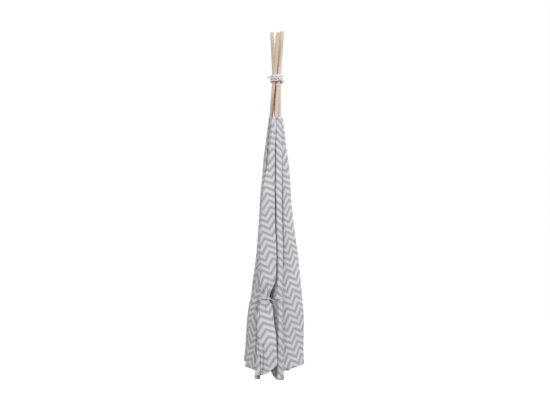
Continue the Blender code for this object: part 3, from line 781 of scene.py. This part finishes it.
# The shares go with FLAP_LEVELS, which run from 0 at the top over 1 at the tie-back to 2 at the
# floor. A layer is a place along the door and a depth. "front" are the runs of cloth that are seen.
FLAPS = {
    "left": {
        "poles": ("front_left", "front_right"),
        "outward": -1,
        "turn": 0.040,
        "depth": 0.075,
        "turn_shares": (
            0.58, 0.57, 0.64, 0.82, 1.10, 1.05, 0.60, 0.18, 0.18, 0.37, 0.30, 0.14, 0.05, 0.04,
        ),
        "edge_shares": (
            -0.46, -0.05, 0.15, 0.30, 0.535, 0.68, 0.715, 0.40, 0.40, 0.61, 0.69, 0.87, 0.96, 1.0,
        ),
        "depth_shares": (
            0.13, 0.17, 0.21, 0.25, 0.35, 0.45, 0.50, 0.48, 0.48, 0.54, 0.66, 0.76, 0.90, 1,
        ),
        "layers": (
            (0, 0), (-0.55, 0.12), (-0.92, 0.26), (-0.50, 0.40), (0.30, 0.38), (0.84, 0.49),
            (0.30, 0.60), (-0.50, 0.60), (-1, 0.74), (-0.60, 0.93), (0.10, 1), (0.60, 0.98),
            (1, 0.88),
        ),
        "hem": 0.027,
        "rise": 0.055,
        "rise_place": 1.5,
        "turned": (5, 7),
        "front": (8, 12),
        "creases": (
            (0.0070, (1.337, -0.0120), (1.250, -0.0237), (1.133, -0.0293), (1.066, -0.0324)),
            (
                0.0060, (0.847, -0.0692), (0.739, -0.0738), (0.601, -0.0758), (0.509, -0.0763),
                (0.458, -0.0692),
            ),
            (0.0080, (0.494, -0.0334), (0.438, -0.0355)),
            (0.0080, (0.474, -0.0600), (0.433, -0.0518)),
            (0.0090, (0.402, -0.0692), (0.376, -0.0794), (0.325, -0.0753)),
            (0.0080, (0.397, -0.0416), (0.346, -0.0457)),
            (0.0130, (0.141, -0.0697), (0.024, -0.0697)),
            (0.0150, (0.182, -0.0554), (0.024, -0.0554)),
            (0.0090, (0.223, -0.0814), (0.141, -0.0804)),
            (0.0080, (0.111, -0.0370), (0.039, -0.0365)),
        ),
    },
    "right": {
        "poles": ("front_right", "front_left"),
        "outward": 1,
        "turn": 0.012,
        "depth": 0.034,
        "turn_shares": (0.95, 0.88, 0.84, 0.82, 0.84, 1, 1, *(0.90,) * 7),
        "edge_shares": (
            0.95, 0.80, 0.69, 0.58, 0.38, 0.265, 0.21, 0.23, 0.23, 0.14, 0.13, 0.12, 0.105, 0.10,
        ),
        "depth_shares": (
            0.15, 0.25, 0.35, 0.45, 0.60, 0.80, 0.88, 0.86, 0.86, 0.88, 0.90, 0.94, 0.97, 1,
        ),
        "inside_shares": (0, 0, 0, 0, 0.30, 1, 1, 0.55, 0.55, 0.9, 1, 1, 1, 1),
        "layers": (
            (0, 0), (-0.55, 0.10), (-1, 0.38), (-0.60, 0.85), (0.10, 1), (0.60, 0.98), (1, 0.72),
        ),
        "tucks": (
            (0.84, 0.44), (0.76, 0.42), (0.68, 0.41), (0.60, 0.40), (0.52, 0.40),
            (0.45, 0.40), (0.38, 0.40), (0.32, 0.40), (0.26, 0.40),
        ),
        "pleats": (
            (1, 0.30), (0.88, 1), (0.77, 0.10), (0.65, 1), (0.53, 0.06),
            (0.41, 1), (0.29, 0.06), (0.17, 1), (0.05, 0.10),
        ),
        "pleat_depth": 0.036,
        "hem": 0.008,
        "rise": 0.046,
        "rise_place": 3,
        "front": (2, 6),
    },
}
PLEAT_CLEAR = 0.005
RIGHT_HEM_REACH = 0.42
RIGHT_SPARE_RUN = (0.38, 0.95)
LEFT_PRINT_ASIDE = 0.012
RIGHT_PRINT_ASIDE = 0.003
PRINT_JOIN = (0.001, 0.006)
GATHER_BAND = 0.008
GATHER_FADE = 0.060
GATHER_DEPTH = 0.0024
GATHER_WAVES = 21
CROSSED_HEIGHT = 1.0
CROSSED_WIDTHS = (0.030, 0.045)
LIFTED_RUN = (-0.004, 0.014)


def flap_shares(side, heights):
    """A flap's turn past its pole, reach across the door, depth and pleated share, by height."""
    flap = FLAPS[side]
    places = np.interp(heights, (0, TIE_HEIGHT, COVER_TOP), (2, 1, 0))
    length = between(*flap["poles"], heights, flap["outward"])[3]
    turn, edge, depth, inside = [
        read_table(places, FLAP_LEVELS, flap.get(name, (0,) * len(FLAP_LEVELS)), FLAP_SPREAD)
        for name in ("turn_shares", "edge_shares", "depth_shares", "inside_shares")
    ]
    return turn * flap["turn"], edge * length, depth * flap["depth"], inside


def door_plan(side, along_offsets, out_offsets, heights):
    """Places beside a front pole, along the door and out from it, as places in plan."""
    flap = FLAPS[side]
    start = pole_at(flap["poles"][0], heights)
    level = np.minimum(heights, CROSSED_HEIGHT)
    _, along, outward, _ = between(*flap["poles"], level, flap["outward"])
    beside = along * np.asarray(along_offsets)[..., None]
    return start + beside + outward * np.asarray(out_offsets)[..., None]


for number, (side, flap) in enumerate(FLAPS.items()):
    # The layers in plan, at levels from the top to the floor.
    levels = np.linspace(COVER_TOP, 0.0, FLAP_SECTIONS)
    turn, edge, depth, inside = flap_shares(side, levels)
    seam = seam_reach(levels)
    length = between(*flap["poles"], levels, flap["outward"])[3]
    room = length - edge - seam - PLEAT_CLEAR
    layers = [((edge if x > 0 else turn) * x, seam + depth * y) for x, y in flap["layers"]]
    inner = zip(flap.get("tucks", ()), flap.get("pleats", ()))
    for (tuck_x, tuck_y), (pleat_x, pleat_y) in inner:
        tucked = (edge * tuck_x, seam + depth * tuck_y)
        pleated = (edge + room * pleat_x, -flap["pleat_depth"] * pleat_y + 0 * seam)
        layers.append(tuple(t * (1 - inside) + p * inside for t, p in zip(tucked, pleated)))
    folds = np.stack([np.stack(layer, axis=1) for layer in layers], axis=1)
    if side == "right":
        # High up, where the two front poles are close, the cloth comes forward to the left one.
        own_pole = pole_at("front_right", levels)
        ahead = door_plan("right", 0 * levels, 0 * levels + 1, levels) - own_pole
        beside = pole_at("front_left", levels) - own_pole
        lift = np.sum(ahead * beside, axis=1).clip(0, 1) * (1 - smooth(length, *CROSSED_WIDTHS))
        folds[..., 1] += lift[:, None] * smooth(folds[..., 0], *LIFTED_RUN)
    lines, arcs = fold_curve(folds, WALL_STEPS)

    # The net of the cloth, down to its hem.
    low = int(np.argmin(abs(levels - flap["hem"])))
    reach = edge[low] if side == "left" else RIGHT_HEM_REACH * length[low]
    place = np.clip(lines[low, :, 0] / reach, 0, 1)
    corner = flap["hem"] + flap["rise"] * place ** flap["rise_place"]
    gathered = TIE_HEIGHT - GATHER_BAND
    plain = np.linspace(COVER_TOP, 0.0, FLAP_ROWS)[:, None] + 0 * corner[None, :]
    heights = np.where(plain < gathered, corner + (gathered - corner) * plain / gathered, plain)
    spots = read_rows(lines, levels, heights)
    arc = read_rows(arcs, levels, heights)
    whole = arc[:, -1:]
    plan = door_plan(side, spots[..., 0].ravel(), spots[..., 1].ravel(), heights.ravel())
    points = np.concatenate([plan.reshape(*heights.shape, 2), heights[..., None]], axis=2)

    # The same places on the flat cloth. What is turned round shows the print from the free edge.
    slant = CROSSING_HEIGHT - heights
    front, back = [arc[:, WALL_STEPS * fold, None] for fold in flap["front"]]
    if side == "left":
        hidden = smooth(arc, *[arc[:, WALL_STEPS * fold, None] for fold in flap["turned"]])
        turned = (arc - front + LEFT_PRINT_ASIDE) * hidden
        angle = (arc * (1 - hidden) + turned) / slant - GORE / 2
        cut = np.stack([slant * np.sin(angle), slant * np.cos(angle)], axis=2)
    else:
        spare = slant * GORE / 2 - whole
        hidden = smooth(arc, back + PRINT_JOIN[0], back + PRINT_JOIN[1])[..., None]
        angle = GORE / 2 - (arc + spare * smooth(arc / whole, *RIGHT_SPARE_RUN)) / slant
        strip = np.stack([arc - front + RIGHT_PRINT_ASIDE, slant], axis=2)
        fan = np.stack([slant * np.sin(angle), slant * np.cos(angle)], axis=2)
        cut = strip * (1 - hidden) + fan * hidden
    to_hem = heights - corner[None, :]
    to_edge = whole - arc
    inset = np.minimum(np.minimum(to_hem, to_edge), COVER_TOP - heights)
    trim = np.stack([np.where(to_edge < to_hem, slant, angle * slant), inset], axis=2)
    hem = (inset < HEM_BAND).astype(float)

    # Creases, and the gathers that spread from the tie-back.
    tape = smooth(arc, *SEWN_RUN)
    points = rippled(loosened(points), cut, tape, 40 + 9.0 * number)
    points = np.where((arc > front)[..., None], creased(points, flap.get("creases", ())), points)
    gather = np.exp(-np.abs(heights - TIE_HEIGHT) / GATHER_FADE) * tape
    waves = np.sin(arc / whole * 2 * pi * GATHER_WAVES + 2.0 * np.sin(arc / whole * 17))
    points = points + net_normals(points) * (GATHER_DEPTH * gather * waves)[..., None]
    door = cloth_piece("door_" + side, points, cut, trim, hem)
    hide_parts("door_flap_" + side)
    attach(door, "front_" + side + "_leg")
    "channel_front_" + side

# The tie-backs: a narrow white cotton ribbon goes round each gathered flap, and is tied in front in
# a small knot with two loose tails.
RIBBON_WHITE = (238, 238, 240)
RIBBON_RIBS = 0.0009
RIBBON_LUSTRE = 0.5
RIBBON_WIDTH = 0.008
RIBBON_CLOTH = 0.0008
RIBBON_PLY = 0.0006
RIBBON_CROWN = 0.0006
RIBBON_EASE = 0.0040
TIE_START = 0.007
TIE_BASE = 0.0125
TIE_TURN = ((0.62, -0.02), (1.0, 0.08), (1.0, 0.75), (0.55, 1.0))
TIE_EDGE = ((0.5, 1.0), (1.0, 0.75), (1.0, 0.08), (0.62, -0.02))
TIE_PATH_STEPS = 10
TIE_KNOT = 0.0060
TIE_STRAND = 0.0022
TIE_SAG = 0.0045
TAIL_WIDTH = 0.004
TAIL_LENGTH = 0.052
TAIL_POINTS = 22
TAIL_FALL = 1.6
TAIL_ASIDE = 0.3
TAIL_TUCKED = 0.001
TAIL_OFF = 0.0003
STRIP_COLUMNS = 7
KNOT_STEPS = 96
KNOT_SIDES = 12
KNOT_ROUGH = 0.16
TAIL_SHARES = {
    "left": (("upper", 0.80, 0.28), ("lower", 0.45, 0.80)),
    "right": (("upper", 0.30, 0.62), ("lower", 0.12, 0.95)),
}


def ribbed(name, colour, ribs, lustre):
    """Plain narrow-woven ribbon: fine ribs across it with painted shade between them, and a faint
    lustre.
    """
    surface, paint = new_surface(name)
    cut = paint.node("ShaderNodeUVMap", {"uv_map": "cut"})
    across, run, _ = split(cut)
    rib = (run * (2 * pi / ribs)).math("SINE")
    yarn = (across * (2 * pi / (ribs * 0.7))).math("SINE")
    mottle = mottled(cut, 3.0, 220.0)
    # Mottled tone, and painted shade: a little darker between the ribs and lighter on their crowns.
    shade = (rib * 0.03 + mottle * 0.16).ramp(-0.06, 0.22)
    sockets = {
        "Base Color": shade.mix(toned(colour, 0.80), linear(*colour)),
        "Roughness": lustre + mottle * 0.1,
        "Normal": relief(rib * 0.00007 + yarn * 0.00003 + mottle * 0.0003),
    }
    end_surface(paint, paint.node("ShaderNodeBsdfPrincipled", None, sockets))
    return surface


def smooth_path(points, steps):
    """Points on the smooth curve through points, with a number of steps between each two."""
    curve, _ = fold_curve(np.array([points], float), steps)
    return curve[0]


def strip_piece(name, path, width, thick, surface, crown=0.0):
    """A strip of cloth set on edge along a path, a little crowned."""
    path = np.asarray(path, float)
    upright = np.array((0.0, 0.0, 1.0))
    face = np.cross(np.gradient(path, axis=0), upright)
    face /= np.linalg.norm(face, axis=1, keepdims=True)
    run = np.concatenate([[0], np.cumsum(np.linalg.norm(np.diff(path, axis=0), axis=1))])
    builder, spots = grid_net(len(path), STRIP_COLUMNS)
    cut = {}
    for vert, (row, column) in spots.items():
        across = column / (STRIP_COLUMNS - 1) * 2 - 1
        hump = crown * (1 - across**2)
        vert.co = path[row] + upright * across * width / 2 + face[row] * hump
        cut[row, column] = (across * width / 2, run[row])
    mapped(builder, spots, cut, cut)
    made = finished(name, builder, surface)
    ply = made.modifiers.new("ply", "SOLIDIFY")
    ply.thickness = thick
    ply.offset = 0
    return made


def knot_piece(name, centre, size, thick, surface):
    """A small overhand knot pulled tight in a soft strip."""
    t = np.linspace(0, 2 * pi, KNOT_STEPS + 1)
    sideways, upward = np.sin(t) + 2 * np.sin(2 * t), np.cos(t) - 2 * np.cos(2 * t)
    path = np.stack([sideways, -1.25 * np.sin(3 * t), upward], axis=1)
    path = path * (1.0, 0.85, 1.0) * (size - thick) / 3.0
    heading = np.gradient(path[:-1], axis=0)
    heading[0] = heading[-1] = path[1] - path[-2]
    heading /= np.linalg.norm(heading, axis=1, keepdims=True)
    side = np.cross(heading, path[:-1])
    side /= np.linalg.norm(side, axis=1, keepdims=True)
    up = np.cross(side, heading)
    builder, spots = grid_net(KNOT_STEPS + 1, KNOT_SIDES + 1)
    cut = {}
    for vert, (row, column) in spots.items():
        at = row % KNOT_STEPS
        angle = 2 * pi * (column % KNOT_SIDES) / KNOT_SIDES
        uneven = noise.noise(Vector(path[at] / size * 2.4 + (angle / 3, 0, 0)))
        rough = 1 + KNOT_ROUGH * uneven
        wide = side[at] * cos(angle) * thick * 1.25 * rough
        flat = up[at] * sin(angle) * thick * 0.75 * rough
        vert.co = Vector(centre) + Vector(path[at] + (wide + flat))
        cut[row, column] = (angle * thick, row / KNOT_STEPS * size * 9)
    mapped(builder, spots, cut, cut)
    bmesh.ops.remove_doubles(builder, verts=builder.verts, dist=0.00001)
    bmesh.ops.recalc_face_normals(builder, faces=builder.faces)
    return finished(name, builder, surface)


RIBBON = ribbed("white_ribbon", RIBBON_WHITE, RIBBON_RIBS, RIBBON_LUSTRE)


def door_spot(side, along, out, height):
    """One place beside a front pole, along the door and out from it."""
    plan = door_plan(side, [along], [out], np.array([height]))[0]
    return Vector((plan[0], plan[1], height))


for number, side in enumerate(("left", "right")):
    body = "front_" + side + "_leg"
    reaches = flap_shares(side, np.array([TIE_HEIGHT]))[:3]
    turn, edge, depth = [float(reach[0]) + RIBBON_EASE for reach in reaches]
    base = TIE_BASE - RIBBON_CLOTH
    seam_out = sqrt(base**2 - TIE_START**2) + RIBBON_CLOTH
    places = [(-TIE_START, seam_out)]
    places += [(-turn * x, base + depth * y) for x, y in TIE_TURN]
    places += [(edge * x, base + depth * y) for x, y in TIE_EDGE]
    places += [(TIE_START, seam_out)]
    path = smooth_path([door_spot(side, x, y, TIE_HEIGHT) for x, y in places], TIE_PATH_STEPS)
    around = np.linspace(0, 2 * pi, len(path))
    path[:, 2] += TIE_SAG * np.sin(around) * np.sin(around / 2 + number)
    name = "tie_loop_" + side
    loop = strip_piece(name, path, RIBBON_WIDTH, RIBBON_PLY, RIBBON, RIBBON_CROWN)
    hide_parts("tie_ribbon_" + side)
    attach(loop, body)

    low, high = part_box("tie_knot_" + side)
    centre = (low + high) / 2
    knot = knot_piece("tie_bow_" + side, centre, TIE_KNOT, TIE_STRAND, RIBBON)
    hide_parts("tie_knot_" + side)
    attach(knot, body)

    knot_along = edge / 2
    knot_out = base + depth + TIE_KNOT + RIBBON_CLOTH + TAIL_OFF
    for sign, (tail, reach_share, fall_share) in zip((-1, 1), TAIL_SHARES[side]):
        beside = TIE_KNOT * TAIL_ASIDE * sign
        clear = sqrt(TIE_KNOT**2 - beside**2) - TAIL_TUCKED
        path = []
        for t in np.linspace(0, 1, TAIL_POINTS):
            along = knot_along + clear + TAIL_LENGTH * reach_share * t
            fall = Vector((0, 0, TAIL_LENGTH * fall_share * t**TAIL_FALL))
            path.append(door_spot(side, along, knot_out + beside, TIE_HEIGHT) - fall)
        name = "tie_tail_" + side + "_" + tail
        loose = strip_piece("loose_" + name, path, TAIL_WIDTH, RIBBON_PLY, RIBBON)
        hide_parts(name)
        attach(loose, body)

# The lashing: a torn strip of pale cotton is wound three times round the crossing, and tied in
# front with its two short ends turned round the sides.
LASH_STRIP = 0.0110
LASH_PLY = 0.0008
LASH_CROWN = 0.0008
LASH_GAP = 0.0006
LASH_BUILD = 0.0042
LASH_INNER = 0.0293
LASH_WRAPS = 3
LASH_TURN_STEPS = 90
LASH_PULL = 0.0012
LASH_WRINKLE = 0.16
LASH_CENTRE = Vector((0.0122, -0.0673, 1.5497))
LASH_LIGHT = (240, 234, 239)
LASH_DARK = (222, 216, 222)
LASH_WEAVE = 0.0008
LASH_PROFILE = (
    (0.15, -0.42), (0.62, -0.50), (0.95, -0.30), (0.90, -0.08),
    (1.0, 0.16), (0.78, 0.34), (0.50, 0.50), (0.10, 0.42),
)
HITCH_SIZE = 0.0085
HITCH_STRAND = 0.0031

# The two ends: side, direction, sweep round the poles in degrees, and the share of the winding's
# height that they climb.
ENDS = (("left", -1, 78, 0.25), ("right", 1, 66, -0.45))
ENDS_FROM = 20
ENDS_CLEAR = 0.0011
ENDS_SPLAY = 0.012
ENDS_POINTS = 25

LASH_COTTON = cotton("lash_cotton", LASH_LIGHT, LASH_DARK, LASH_WEAVE)

count = LASH_WRAPS * LASH_TURN_STEPS + 1
pitch = LASH_STRIP + LASH_GAP
low = -pitch * LASH_WRAPS / 2
builder, spots = grid_net(count, len(LASH_PROFILE) + 1)
cut, trim = {}, {}
for vert, (row, column) in spots.items():
    out_share, up_share = LASH_PROFILE[column % len(LASH_PROFILE)]
    turn = 2 * pi * row / LASH_TURN_STEPS
    wrinkle = noise.noise(Vector((cos(turn) * 5, sin(turn) * 5, row * 0.05 + up_share * 2.2)))
    build = LASH_BUILD * out_share * (1 + LASH_WRINKLE * wrinkle)
    radius = LASH_INNER - LASH_PULL * cos(2 * turn) ** 2 + build
    height = low + LASH_STRIP * up_share + pitch * row / LASH_TURN_STEPS
    vert.co = LASH_CENTRE + Vector((radius * cos(turn), radius * sin(turn), height))
    cut[row, column] = (turn * LASH_INNER, column * 0.003)
    trim[row, column] = (turn * LASH_INNER, PLAIN_INSET)
mapped(builder, spots, cut, trim)
bmesh.ops.remove_doubles(builder, verts=builder.verts, dist=0.00001)
rims = [edge for edge in builder.edges if edge.is_boundary]
bmesh.ops.holes_fill(builder, edges=rims, sides=0)
bmesh.ops.recalc_face_normals(builder, faces=builder.faces)
winding = finished("lash_winding", builder, LASH_COTTON)
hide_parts("lash_wrap")
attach(winding, "lashing")
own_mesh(winding)

low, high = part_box("lash_knot")
centre = (low + high) / 2
hitch = knot_piece("lash_hitch", centre, HITCH_SIZE, HITCH_STRAND, LASH_COTTON)
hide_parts("lash_knot")
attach(hitch, "lashing")

outer = LASH_INNER + LASH_BUILD
for side, sign, sweep, slope_share in ENDS:
    path = []
    for t in np.linspace(0, 1, ENDS_POINTS):
        angle = radians(ENDS_FROM + (sweep - ENDS_FROM) * t)
        radius = outer + ENDS_CLEAR + ENDS_SPLAY * t**2
        rise = slope_share * pitch * LASH_WRAPS * t
        path.append(LASH_CENTRE + Vector((sign * radius * sin(angle), -radius * cos(angle), rise)))
    name = "lash_tail_" + side
    tail = strip_piece(name, path, LASH_STRIP, LASH_PLY, LASH_COTTON, LASH_CROWN)
    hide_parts("lash_end_" + side)
    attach(tail, "lashing")
